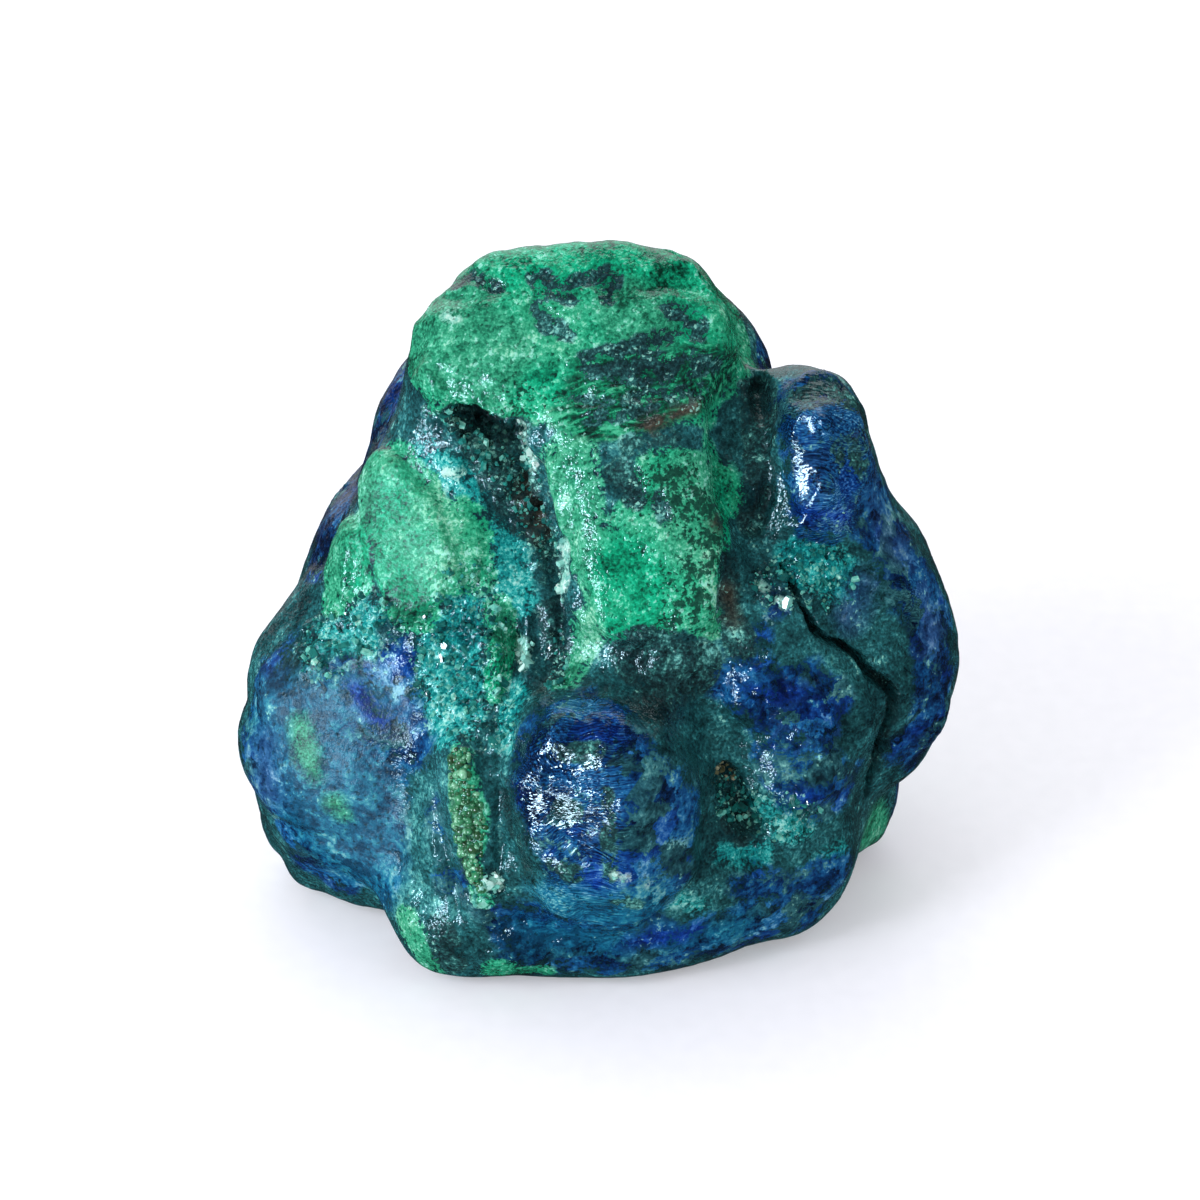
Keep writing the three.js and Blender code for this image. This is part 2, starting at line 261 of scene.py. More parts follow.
AZURITE = [
    [(-.8, -13.6, 19.2, 2.6), (-.8, -15.4, 16.6, 5), (1.4, -15.8, 13.6, 5), (.8, -16, 9.4, 4.2)],
    [(12, -.6, 34.6, 2), (14, -1.6, 33, 3.2), (14, -3.4, 30.6, 3), (13.4, -4.2, 28.8, 2)],
    [(17.4, -2, 27.6, 3), (18.6, -2.4, 24, 2.6), (20.4, -3, 18.4, 2.4), (20.4, -4.6, 13, 3)],
    [(8.4, -10.2, 20.4, 2), (11, -10.3, 19, 2.6), (13.4, -9.8, 18.6, 2.4)],
    [(11.4, -11, 16, 2), (13.4, -10.6, 13.2, 2.2), (15, -9.4, 12, 2)],
    [(-3.6, -15, 5, 3), (1, -14.8, 4, 3), (5, -13.8, 3.2, 2.6), (9, -12.4, 3.8, 2.6),
     (13, -10.6, 4, 2.4)], [(8.6, -13, 7.2, 1.2), (11.6, -11.6, 6.4, 1.6), (15, -9.4, 6, 1.6)],
    [(-15, -7.4, 18.6, 2), (-16, -8.6, 14, 4), (-15, -9, 10, 4), (-14, -9, 6.4, 3)],
    [(-20.4, -5.4, 16, 3), (-20, -7, 11, 3), (-17, -7.6, 5.4, 3)],
    [(-12.6, -6.6, 21, 1.4), (-12.4, -8, 18.4, 1.8), (-11.6, -9.6, 15.4, 1.6)],
    [(-17.4, 1, 24, 3), (-15, 4, 29, 4), (-12, 7, 33, 3)],
    [(-10.2, -12, 12, 1), (-9.2, -13.6, 8.4, 1.2), (-6, -14.8, 5.4, 1)],
    [(9.6, -8.8, 23, .9), (10.6, -7.8, 24.2, .8)],
]
COBALT = [
    [(-.6, -14.2, 18.8, 1.2), (1, -14.6, 18.4, 1)], [(-.3, -17, 12.4, .9), (-.2, -17.1, 10.6, .8)],
    [(-3.6, -15.2, 6.8, .9), (-2.4, -15.6, 6.4, .6)], [(11.8, -4, 29, .7), (14.6, -4.1, 28.6, .9)],
    [(8.6, -10.2, 20.2, .6), (11, -10.3, 19.4, .8), (12.6, -10, 19.6, .5)],
    [(12, -11, 13.6, .5), (14, -10.4, 12.6, .8)], [(-15, -7.5, 18.2, .9), (-13.6, -8.6, 16.8, 1)],
    [(-12.4, -6.8, 20.6, .7), (-11.6, -7.4, 20, .6)], [(19.6, -4.8, 16, .4), (19.8, -5, 13.6, .6)],
    [(-20.8, -4.2, 18, .8), (-19.4, -3.4, 20.4, .7)], [(1.8, -14.8, 4, 1), (6, -13.6, 4.6, 1)],
    [(12.6, -1.6, 34, .5), (12.8, -2.6, 33, .5)],
]
DARK = [
    [(-3.9, 2.2, 41.3, .5), (-3.3, 1.8, 41.3, .8), (-2.4, 1, 40.8, .5), (-1.7, .7, 40.8, .55)],
    [(-3.4, 1.4, 41, .45), (-3.8, .3, 40.3, .5), (-2.9, -.4, 39.7, .75), (-1.9, -.9, 39.3, .5)],
    [(-2.2, 1.4, 41.1, .4), (-1.3, 1.8, 41.4, .5), (-.3, 2, 41.5, .4), (.4, 2.1, 41.5, .9),
     (.5, .9, 40.8, .5)], [(3.8, 1, 40.1, .4), (4.6, .6, 39.7, .9), (5.5, .4, 38.9, .8)],
    [(4, -.4, 38.9, .6), (2.4, -1.1, 38.6, .6), (1.2, -1.4, 38.4, .5), (-.9, -1.8, 38.2, .45)],
    [(-.6, -2.2, 37.5, .7), (2.4, -2, 37.4, 1), (4.4, -1.4, 37.3, .9), (6.8, -.2, 36.8, .7)],
    [(-2.4, -15.2, 18.4, .5), (-.2, -15.2, 18.6, .5)], [(-2.6, -16.6, 15.6, .5), (-1.6, -16.8, 15.4, .4)],
    [(-3, -17.2, 11.8, .6), (-1.6, -17.4, 11.4, .7)],
    [(-2, -3.2, 36.2, .3), (0, -3.2, 35.8, .3), (3, -2.8, 36.1, .4), (6.2, -1.4, 35.6, .4)],
    [(-.6, -3.6, 34.9, .3), (2.4, -3.4, 35.2, .3), (5, -2.2, 35.2, .3)],
    [(2, -4.5, 33.4, .7), (4.4, -4, 33.6, .6)], [(1.4, -5.6, 32.2, .9), (2.2, -6.6, 31.2, .7)],
    [(3.4, -6.4, 31, .5), (3.8, -7, 30, .4)],
    [(-8.8, 3.1, 40.4, .35), (-7.9, 3.3, 40.8, .5), (-6.1, 1.8, 40.9, .4)],
    # Dark line in the notch behind the rim of the cap: painted shade
    [(4.4, 5.7, 41.1, .35), (6, 4.9, 40.5, .4), (7.5, 4, 39.1, .45), (8.8, 3.9, 37.5, .4)],
    # Dark patch in the cavity under the lip: painted shade
    [(-8, -2.2, 33, 1), (-6.6, -2.6, 31.2, 1.2), (-6, -3.4, 29.4, 1), (-4.8, -4.4, 28, .7)],
    [(-4.8, -2.6, 31.6, .7), (-4.2, -3.4, 29.6, .5), (-3.4, -4.6, 27.4, .6), (-3.2, -6, 25.4, .6)],
    [(-3, -7.4, 23.6, .8), (-2.4, -8.4, 22.2, .8), (-2.8, -9.8, 20.8, .6)],
    # Dark patch in the cavity under the lip: painted shade
    [(-9, -1.2, 34, .7), (-7, -1.9, 33.4, 1.3), (-5, -2.4, 33.6, 1.2)],
    [(2.6, -10.2, 22.4, 2), (5.4, -10.2, 21.4, 2), (3.4, -12.4, 20.2, 1.6)],
    [(7.8, -7.4, 27, 1), (8, -8.8, 24.6, .9), (8.6, -9.4, 22.6, 1)],
    [(9.6, .6, 34.6, 1.2), (9.8, -2.8, 31.4, .8), (9.4, -4.6, 28.4, .9)],
    [(-9.6, -13.4, 5, 1), (-9.2, -13.8, 2.4, 1)], [(8.2, -11.8, 11.6, 1.1), (8.8, -11.8, 10.6, .9)],
    [(11.4, -1.2, 35, .5), (13.4, -.4, 35.2, .7), (15, -.2, 34.2, 1), (16.4, .4, 32.6, 1.2)],
    [(14.6, -2.9, 32.4, .5), (15.4, -2.8, 31.6, .7)],
    # Dark line down the crack in the right side: painted shade
    [(17.7, -6.4, 17.6, .45), (17.4, -7, 14.6, .5), (17.4, -6.6, 11.6, .45)],
    [(.4, -16.6, 16.6, .4), (.5, -17, 14, .5), (.6, -17, 11.4, .4)],
    [(-4.9, -15.5, 12.6, .3), (-4.4, -16, 10, .4)], [(-6, -14.4, 14.8, .4), (-5.6, -15, 12.4, .3)],
    [(1, -17, 9.6, .5), (2.4, -16.6, 8.8, .5)],
]
CRUST = [
    # The three smallest strokes, beside the crack in the right side, are pale glints: painted highlights of
    # crystal faces
    [(-9, .8, 39.6, .5), (-8.4, .6, 39.4, .3)], [(9.5, -6.9, 25.6, .12), (10, -7, 25.2, .12)],
    [(10.9, -7.6, 24.6, .12), (11.2, -7.8, 24.3, .1)], [(10, -8.3, 23.9, .1), (10.4, -8.5, 23.6, .1)],
    [(-4.5, -3, 32.8, .7), (-4.6, -3.1, 31.6, .6)],
    [(-2, -5.9, 27.4, .45), (-2.2, -6.7, 26, .65), (-2.5, -7.3, 24.7, .5)],
    [(-3.6, -7.2, 24.6, .4), (-3.9, -7.6, 23.8, .4)], [(-9.2, -2.6, 31, .4), (-8.6, -2.6, 30.8, .4)],
    [(-6.9, -2.3, 29.8, .5), (-6.5, -2.6, 29.5, .4)], [(-6.7, -14.9, 9.3, .5), (-6.5, -15, 8.8, .4)],
    [(.9, -17.3, 11.4, .3), (1.7, -17.2, 11.2, .25)], [(2.9, -16.9, 10.4, .3), (3.2, -16.9, 10.1, .25)],
    [(-5.9, -5.2, 27.2, .4), (-5.2, -6, 26, .5)], [(-4.6, -8.2, 22, .4), (-4.8, -9, 21, .4)],
]
TEAL = [
    [(-8.4, -6, 23.6, 2), (-9.4, -7.6, 20.4, 2.4), (-8.8, -9.6, 17.4, 2.2)],
    [(-13.6, -5.6, 21.6, 1.8), (-16.6, -5.6, 19.4, 2)], [(10, -11.2, 12, 1), (12, -11.2, 10.8, 1.4)],
    [(-10.4, -1.8, 31.6, 1), (-8.6, -2.6, 30.6, 1.3), (-7.4, -3.2, 29.2, 1)],
    [(12.4, -5.4, 26.2, 1.6), (14.4, -5.4, 25, 1.8)],
    [(-8.6, 1.8, 40.4, .6), (-7.2, 2, 40.8, .7), (-5.4, 1.6, 41, .6)],
    [(-6.8, -4.4, 28, 1.2), (-5.6, -5.4, 26.4, 1.4), (-5, -6.8, 24.6, 1.4)],
    [(-2.6, -14.6, 17.4, .5), (-2.2, -16.2, 15.6, .7), (-2.4, -17, 13, .8), (-2, -17, 11.6, .6)],
    [(-4.8, -9.8, 18.8, 1.4), (-5.4, -12, 17, 1)], [(7.4, -13, 9.8, .8), (9.6, -12.2, 9, 1.2)],
    [(12.8, -11, 7, .8), (14.8, -9.4, 7.4, .9)], [(4.6, -14.8, 7.4, .8), (6.4, -14.2, 6.4, .9)],
    [(9.4, -12.8, 5, .8), (11, -12.2, 4.6, .6)], [(-8.4, -1.8, 33.4, .8), (-6, -2.4, 32.2, 1)],
]
BROWN = [
    [(-4.9, -3.1, 30, .6), (-4.3, -3.7, 28.8, .7), (-3.9, -4.6, 27.4, .5)],
    [(7.9, -8, 25.4, .4), (8.2, -8.9, 24, .5)], [(3, -3.9, 34.6, .6), (5.4, -2.6, 35, .5)],
    [(6.6, -6.6, 29.4, .5), (7.2, -6.6, 28.8, .4)], [(-3.4, -10.2, 20.6, .4), (-3.4, -10.8, 19.8, .3)],
    [(-8.7, -13.4, 14, .4), (-8.3, -14.2, 11.4, .5), (-8.3, -14.5, 9, .4)],
    [(16.2, -2.2, 33.4, .7), (15.6, -2.6, 33.2, .5)],
]
# Lilac-grey sheen painted along the outer edges of the left bulge and right lobes and on a face beside the
# crack: painted reflection, not a mineral
PAINTED_SHEEN = [
    [(-20.6, -6.4, 13.6, .8), (-20.4, -7.2, 10.8, .7)], [(15.2, -6.2, 22.8, .5), (15.8, -5.2, 24.2, .6)],
    [(18.4, -2.6, 28.6, .8), (18.8, -2.4, 25.6, .8)], [(21, -3.2, 20, .6), (20.6, -3.4, 19.4, .4)],
]
# Chalky, paler malachite, and clear deep green
MILKY = [
    [(-9, .4, 38.6, 2.6), (-6.4, -.6, 37.6, 2)], [(-14.4, -1.4, 28.6, 1), (-15.6, -3, 23.4, 1)],
    [(-1.4, -4.6, 32.6, 1), (-1, -6.4, 30, 1.1), (-.6, -8, 26.8, 1), (-.6, -9.4, 24, .8),
     (-1.8, -10.2, 21, 1)], [(6, -5.6, 31.4, 1.6), (5.8, -7.4, 29, 1.6)],
    [(2, .4, 40.2, 1.6), (3, -.4, 39.4, 1.2)],
    [(-18.6, -8, 15, 1.4), (-16, -9.4, 10.8, 1.2), (-10.6, -13.4, 3, 2)],
]
DEEP = [
    [(-12.6, -2.6, 29, 1), (-11.6, -4.4, 27, 1.6), (-11, -5.4, 24.6, 1.2)],
    [(-15, -3, 26.4, 1.2), (-14.4, -4.6, 24.4, 1.2)], [(1.2, -8.8, 27, 2), (2, -9.6, 24.6, 1.6)],
    [(6.6, .4, 38, 1.6), (7.6, 1.2, 37.4, 1.4)],
    [(-4, -2.8, 36, 1.2), (0, -3.4, 35.8, 1.2), (5, -2.2, 36, 1.2)],
    [(-4, 3, 41.8, 1.6), (2, 4, 42, 1.6), (6, 4, 40, 1.6)], [(-6, -8.4, 21, .8), (-6.2, -9.2, 19.6, .6)],
    [(8.4, -5, 31, 1.4), (8, -7, 27, 1.2)],
]
# Azurite in bundles of needles
FIBROUS = [
    [(-.8, -13.8, 19.2, 2.6), (-1.6, -15.2, 16.6, 3.6), (-1.8, -15.6, 13.6, 3.8), (-1.4, -16, 9.4, 3)],
    [(-3, -15.2, 6.6, 1.6), (1, -15, 5.6, 1.4)],
    [(12.4, -.6, 34.6, 1.6), (14, -2.6, 31.6, 3.2), (13.8, -4.2, 28.6, 2.2)],
    [(19, -3.6, 26, 1.4), (19.6, -4.4, 22, 1.2)],
]
# Malachite pitted with dark specks
PITTED = [
    [(4, -6, 31.8, 2.4), (6.4, -6, 30, 2.4), (5.8, -8.2, 27.4, 2.2), (5, -9.4, 24.6, 2)],
    [(3, -9.8, 23.6, 1.6), (1.4, -10.4, 23, 1.2)],
    [(-5.6, -2.2, 36, 1), (2, -3.2, 35.4, 1.4), (7, -.6, 35.6, 1.4)],
]
# Malachite and dark rock in thin streaks that climb to the right
STREAKED = [
    [(-2.4, -3.4, 34.8, .8), (0, -3.6, 34.9, 1.4), (3, -3.2, 35.3, 1.5), (6, -1.6, 35.6, 1.3),
     (8, .4, 35.8, .8)],
    [(-1.2, -2, 37.7, .6), (3, -1.8, 37.5, 1.1), (6, -.5, 37.2, 1), (8, 1, 36.6, .8)],
    [(-1.4, -2.7, 36.7, .8), (3, -2.5, 36.5, 1.1), (7, -.8, 36.1, .9)],
]
# Chalky malachite with soft edges
CHALKY = [
    [(-18.7, -8, 15.8, .9), (-18.3, -8.6, 14.4, 1), (-17.7, -8.9, 13, .6)],
    [(-16.4, -9.2, 11.2, .7), (-15.8, -9.4, 10.4, .6)], [(17.6, -1.4, 4.2, 2), (18.4, -.4, 3, 2)],
]
# Cloudy, paler azurite
CLOUDY = [
    [(-14, -7.4, 17.6, 1.6), (-19, -6, 15.4, 3.4), (-16.4, -8.4, 11.4, 4.6), (-15, -9, 7, 3.6)],
    [(-4, -14.8, 5, 2), (1, -14.6, 4.6, 1.8)], [(-2, -16, 8.6, 2), (2.4, -15.8, 8.4, 2)],
    [(4, -14.2, 4.4, 1.2), (9, -12.6, 4, 1.2)],
]
# Rough, unpolished ground
ROUGH = [
    [(9, -9.6, 21, 2.4), (12, -10, 18, 3.4), (12.6, -10.8, 14, 3), (9, -12, 9, 3)],
    [(3, -10.4, 22.4, 2.4), (6, -10, 22, 2)],
    [(13, -5.4, 26, 2.4), (17, -4.4, 24, 2.6), (19.6, -4.4, 20, 2.6), (20, -4.6, 14, 3)],
    [(-5, -14.8, 5, 3), (1, -15, 5, 3), (9, -13, 5, 3)],
]
# Clean, smooth faces of large azurite crystals
CLEAN = [
    [(12.9, -2.2, 34.8, .5), (12.9, -2.8, 33.1, .6)],
    [(12.9, -3.6, 32.2, .6), (12.6, -4.1, 30.4, .7), (12.1, -4.3, 28.9, .5)],
]
# Where the surface is a crust of small crystals and not a worn, polished one
DRUSE = [
    [(-8, -5.6, 24, 2.6), (-8.6, -8, 19.6, 3.6), (-6.6, -10.6, 17.6, 2.4)],
    [(-9, -1.2, 34, 1.4), (-7, -1.9, 33, 2.4), (-5, -3, 30.4, 1.8), (-3.4, -5.4, 26.6, 1.4)],
    [(-13.4, -5.6, 22, 2.4), (-17, -5, 19.8, 2.6)], [(8, -11.4, 12.8, 2), (11.8, -11.2, 11.4, 2.2)],
    [(10.6, -6.6, 25.2, 2), (14, -5.8, 25, 2.4)], [(-2.6, -8.6, 22.4, 1), (-2.6, -10.4, 20.4, 1.4)],
    [(-7.4, -14.6, 7.6, 1), (-6.6, -15, 8.8, .8)],
]
# Worn dull and not polished
MATT = [
    [(-19.4, -5, 17, 3), (-16.6, -8, 14.6, 4), (-15, -9, 9.6, 4)],
    [(-16, -6.6, 18.6, 3), (-13, -8, 17, 2.4)], [(-13.4, -2.4, 28.6, 3.4), (-11.6, -5, 25.6, 3.4)],
]
# Rounded grains on the green strip
GRAINS = [
    [(-8.6, -12.6, 16.4, .7), (-8.4, -13.8, 13.6, .9), (-8, -14.4, 10.8, .8), (-7.4, -14.8, 9, .5)],
]
# Honey-coloured crystals in the recess beside the boss, at any y
HONEY = [
    [(7.5, 0, 14.6, .5), (8, 0, 13.4, .45)],
]


def inside(points, strokes):
    """How many millimetres each point is inside the nearest edge of the strokes; less than 0 is outside."""
    best = np.full(len(points), -9.0)  # far outside
    for path in strokes:
        for start, end in zip(np.array(path), np.array(path[1:])):
            along = (end - start)[:3]
            share = np.clip((points - start[:3]) @ along / (along @ along), 0, 1)
            gap = np.linalg.norm(points - start[:3] - share[:, None] * along, axis=1)
            best = np.maximum(best, start[3] + share * (end[3] - start[3]) - gap)
    return best


def ripple(points, size, octaves=1):
    """Smooth noise from about -1 to 1, with lumps of that size. A number added to the points gives other
    lumps."""
    return np.array([noise.fractal(p, 1, 2, octaves) for p in (points / size).tolist()])


def beads(points, size, steepness=2.2):
    """Rounded grains of that size, packed together: 1 on top of each, 0 between them."""
    gaps = np.array([noise.voronoi(p)[0][:2] for p in (points / size).tolist()])
    return np.clip((gaps[:, 1] - gaps[:, 0]) * steepness, 0, 1) ** .5


def smooth(share):
    share = np.clip(share, 0, 1)
    return share * share * (3 - 2 * share)


# ---- nugget's shape ----

def read(things, name, width=3):
    values = np.empty(len(things) * width, np.float32)
    things.foreach_get(name, values)
    return values.reshape(-1, width).astype(float)


def places_of(nugget):
    return read(nugget.data.vertices, "co")


def normals_of(nugget):
    return read(nugget.data.vertex_normals, "vector")


def move_to(nugget, places):
    nugget.data.vertices.foreach_set("co", places.astype(np.float32).ravel())
    nugget.data.update()


def bake(nugget):
    """Applies the object's modifiers."""
    ready = nugget.evaluated_get(bpy.context.evaluated_depsgraph_get())
    nugget.data = bpy.data.meshes.new_from_object(ready)
    nugget.modifiers.clear()
    nugget.data.shade_smooth()


def fine_net(node):
    """The node's skin as a new object in millimetres, welded and with each triangle divided into 12."""
    net = bmesh.new()
    net.from_mesh(node.data)
    bmesh.ops.remove_doubles(net, verts=net.verts, dist=1e-6)
    net.verts.index_update()
    mesh = bpy.data.meshes.new("azurite_malachite_nugget")
    mesh.from_pydata([v.co / MM for v in net.verts], [], [[v.index for v in f.verts] for f in net.faces])
    net.free()
    nugget = new_object("azurite_malachite_nugget", mesh)
    nugget.modifiers.new("divide", "SUBSURF").levels = 2
    bake(nugget)
    return nugget


def pushed(rest, strokes, ragged, form, way):
    """How each point inside the strokes moves along way, for a form's depth or height and its soft edge."""
    share = smooth((inside(rest, strokes) + ragged) / form["soft"])
    return (share * form["by"])[:, None] * np.array(way)


def carve(rest, normals):
    """How each point of the net moves for the wear, cuts, ridges and plates of the real surface."""
    # Worn lumps 9, 6 and 3 mm across, and a fine unevenness that makes the edges wander too
    wander = ripple(rest, 1.6, 3)
    lumps = np.abs(ripple(rest + 9, 6)) * .9 + np.abs(ripple(rest - 5, 3)) * .2
    move = normals * (ripple(rest, 9) * .3 + lumps + wander * .03 - .3)[:, None]
    for face in FACES.values():
        facing = np.array(face["facing"]) / np.linalg.norm(face["facing"])
        away = rest - np.array(face["at"])
        gap = (away + move) @ facing
        aside = np.linalg.norm(away - (away @ facing)[:, None] * facing, axis=1)
        share = smooth((face["reach"] - aside) / face.get("soft", 2.4))
        share *= smooth(normals @ facing * 2) * smooth(3 - np.abs(gap))
        move -= (share * gap * face["share"])[:, None] * facing
    for form in (*CUTS.values(), *RIDGES.values()):
        move += pushed(rest, [form["path"]], wander * .25, form, form["way"])
    for form in PLATES.values():
        move += pushed(rest, form["strokes"], wander * .3, form, normals)
    return move


def turned_away(rest):
    """0 on the best side of the nugget and 1 on its back, where noise takes over from the strokes. It changes
    from y = 3 to y = 7 in the middle, sooner at both ends and later on the cap."""
    x, y, z = rest.T
    behind = y * .8 - z * .12 + np.abs(x) * .12 - np.maximum(z - CAP_BOTTOM, 0) * 1.2
    return smooth((behind - 1) / 3)


def druse_pockets(rest):
    """How many millimetres each point is inside a pocket lined with crystals."""
    hidden = turned_away(rest)
    behind = ripple(rest + 70, 8, 2) * 8 - 2.4
    return np.maximum(inside(rest, DRUSE), behind * hidden - 14 * (1 - hidden))


def crusts(rest, normals):
    """How the carved surface moves for its crystals, grains, pores, needles and cracks."""
    druse = smooth(druse_pockets(rest) + ripple(rest, 1.6, 3) * .8)
    grains = smooth((inside(rest, GRAINS) + .1) / .4)
    worn = (1 - druse) * (1 - grains)
    rough = smooth((inside(rest, ROUGH) + ripple(rest, 2, 2)) / 1.6) * worn
    needles = inside(rest, FIBROUS)
    height = (druse * ((beads(rest, .8) - .5) * .34 + (beads(rest + 7, 1.7) - .5) * .5)
              + grains * (beads(rest, .65) - .4) * .45
              + worn * (1 - smooth(needles)) * ripple(rest, .7, 3) * .03
              + rough * (.1 - np.abs(ripple(rest - 20, 1.3, 3)) * .5))
    # Bundles of needles break off in long ledges, on the left and in the middle
    ledges = smooth((needles + .6) / 1.2) * worn * (rest[:, 0] < RIGHT_LOBES)
    curved = rest * (.3, 1, 1) + ripple(rest, 5)[:, None] * (0, .4, .8)
    height += ledges * (np.abs(ripple(curved, 1, 2)) * .07)
    # Dark marks are worn a little lower, above the boss
    marks = smooth(inside(rest, DARK) / .4 + .6) * .16 * worn
    height -= marks * (rest[:, 2] > BOSS_TOP) * (1 - turned_away(rest))
    move = normals * height[:, None]
    ragged = ripple(rest, .9, 2) * .12
    for crack in CRACKS.values():
        move += pushed(rest, [crack["path"]], ragged, crack, crack["way"])
    return move


def lifted(rest):
    """How freely each point may move: 0 on the resting flat, 1 well above it."""
    return smooth((rest[:, 2] - LIFT[0]) / LIFT[1])


def set_places(nugget, places, lift):
    """Moves the net's points there, but not those of the resting flat. Returns where they are now."""
    before = places_of(nugget)
    places = before + (places - before) * lift[:, None]
    places[:, 2] = np.maximum(places[:, 2], 0)
    move_to(nugget, places)
    return places


def even_net(nugget, rest, normals):
    """Replaces the carved net by one of even squares. Returns its places and normals before the carving."""
    tree = KDTree(len(rest))
    for i, place in enumerate(places_of(nugget).tolist()):
        tree.insert(place, i)
    tree.balance()
    divide = nugget.modifiers.new("even squares", "REMESH")
    divide.mode = "VOXEL"
    divide.voxel_size = NET_SIZE
    bake(nugget)
    nearest = [[(i, 1 / (gap + .01)) for _, i, gap in tree.find_n(place, 3)]
               for place in places_of(nugget).tolist()]
    which, weight = np.moveaxis(np.array(nearest), 2, 0)
    weight = weight / weight.sum(1, keepdims=True)
    return [(values[which.astype(int)] * weight[:, :, None]).sum(1) for values in (rest, normals)]


def shape_nugget(nugget):
    """Carves the net, evens it out, grows crusts on it and turns it to metres. Returns where each point was
    and how deep it sank."""
    rest, normals = places_of(nugget), normals_of(nugget)
    set_places(nugget, rest + carve(rest, normals), lifted(rest))
    rest, normals = even_net(nugget, rest, normals)
    moved = set_places(nugget, places_of(nugget) + crusts(rest, normals_of(nugget)), lifted(rest))
    move_to(nugget, moved * MM)
    return rest, ((rest - moved) * normals).sum(1)


def lay_minerals(nugget, rest, sunk):
    """Writes how far each point is inside each mineral's patch, in millimetres, as attributes; the sheen
    patches among them are painted reflection.
    """
    hidden = turned_away(rest)
    shown = 1 - hidden
    wander = ripple(rest, 2.4, 3) * .9
    druse = druse_pockets(rest)
    # On the back, malachite and azurite come in rounded patches, and dark rock in thin seams
    vein = ripple(rest + 40, 9, 2) * 7 - 1.2
    lode = ripple(rest - 60, 11, 2) * 7 + 1 - np.clip(druse, -.5, 2) * 3
    seam = np.abs(ripple(rest + 20, 7, 2)) * -9 + .5
    fields = {
        "malachite": inside(rest, MALACHITE) * shown + vein * hidden + wander * .5,
        "azurite": inside(rest, AZURITE) * shown + lode * hidden + wander,
        "cobalt": inside(rest, COBALT) + wander * .5 - .2 - hidden * .6,
        "dark": inside(rest, DARK) * shown + .12 + wander * .2 + seam * hidden,
        "crust": inside(rest, CRUST) + wander * .2 - hidden,
        "teal": np.maximum(inside(rest, TEAL), druse - 4 * shown) + wander * .6,
        "brown": inside(rest, BROWN) + wander * .2,
        "painted_sheen": inside(rest, PAINTED_SHEEN) + wander * .4,
        "druse": druse + wander * .6,
        "cloudy": inside(rest, CLOUDY) + wander * .6 - hidden * 3,
        "chalky": inside(rest, CHALKY) - hidden,
        "bloom": np.clip(inside(rest, MILKY), -1, 1) - np.clip(inside(rest, DEEP), -1, 1) + wander * .3,
        "pitted": inside(rest, PITTED) + wander * .5 - hidden,
        "fibrous": inside(rest, FIBROUS) + wander * .5,
        "streaked": inside(rest, STREAKED) + wander * .3,
        "clean": inside(rest, CLEAN),
        "matt": inside(rest, MATT),
        "grains": inside(rest, GRAINS),
        "sunk": sunk,
    }
    for name, values in fields.items():
        layer = nugget.data.attributes.new(name, "FLOAT", "POINT")
        layer.data.foreach_set("value", np.clip(values, -3, 3).astype(np.float32))


# ---- loose crystals ----

def strew(name, nugget, chosen, count, sizes, seed, material, sides=0):
    """Grows crystals with that many sides, or else rounded beads, on the chosen points, as one piece. Each
    has its own size, stretch, lean and tone, and stands a little way into the nugget."""
    dice = np.random.RandomState(seed)
    picks = dice.choice(np.flatnonzero(chosen), count, replace=False)
    form = bmesh.new()
    if sides:
        bmesh.ops.create_cone(form, cap_ends=True, segments=sides, radius1=.5, radius2=.32, depth=1.2)
    else:
        bmesh.ops.create_icosphere(form, subdivisions=2, radius=.5)
    corners = np.array([v.co for v in form.verts])
    faces = [[v.index for v in f.verts] for f in form.faces]
    form.free()
    points, polygons, tones = [], [], []
    for place, normal in zip(places_of(nugget)[picks] / MM, normals_of(nugget)[picks]):
        size = sizes[0] + (sizes[1] - sizes[0]) * dice.uniform() ** 3
        lean = Vector(normal + dice.normal(0, .45, 3)).to_track_quat("Z", "Y").to_matrix()
        turned = (corners * dice.uniform(.75, 1.25, 3) * size) @ np.array(lean).T
        polygons += [[i + len(points) * len(corners) for i in face] for face in faces]
        points.append((turned + place - normal * size * .15) * MM)
        tones += [dice.uniform()] * len(corners)
    mesh = bpy.data.meshes.new(name)
    mesh.from_pydata(np.concatenate(points).tolist(), [], polygons)
    mesh.attributes.new("tone", "FLOAT", "POINT").data.foreach_set("value", np.array(tones, np.float32))
    if not sides:
        mesh.shade_smooth()
    mesh.materials.append(material)
    piece = new_object(name, mesh)
    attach(piece, "root")


# ---- materials ----

